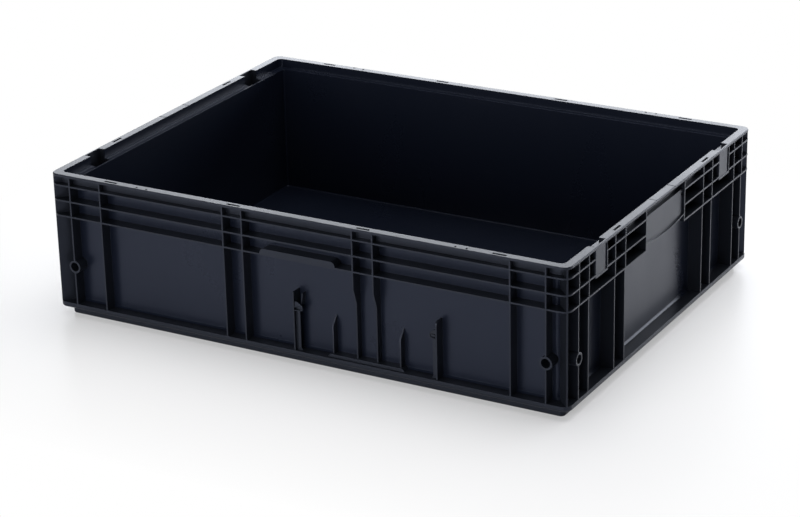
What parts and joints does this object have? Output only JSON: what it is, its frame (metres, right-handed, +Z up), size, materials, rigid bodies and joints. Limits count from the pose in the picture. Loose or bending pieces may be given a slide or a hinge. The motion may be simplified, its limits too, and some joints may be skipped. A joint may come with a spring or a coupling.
{
  "type": "esd tote box",
  "caption": "Stackable black conductive plastic tote with ribbed walls, smooth tub, nesting foot, side handles, hinge pockets, gripper holes and a label holder.",
  "frame": {"origin": "middle of the underside, on the plane that the box stands on", "axes": "+X along the long label side towards the viewer's right, -Y out of the label side, +Z up to the rim"},
  "size_m": [0.8, 0.6, 0.213],
  "materials": {
    "conductive_plastic": "fine satin grain, carbon black"
  },
  "bodies": {
    "root": {"tote_box": "conductive_plastic"}
  },
  "joints": []
}
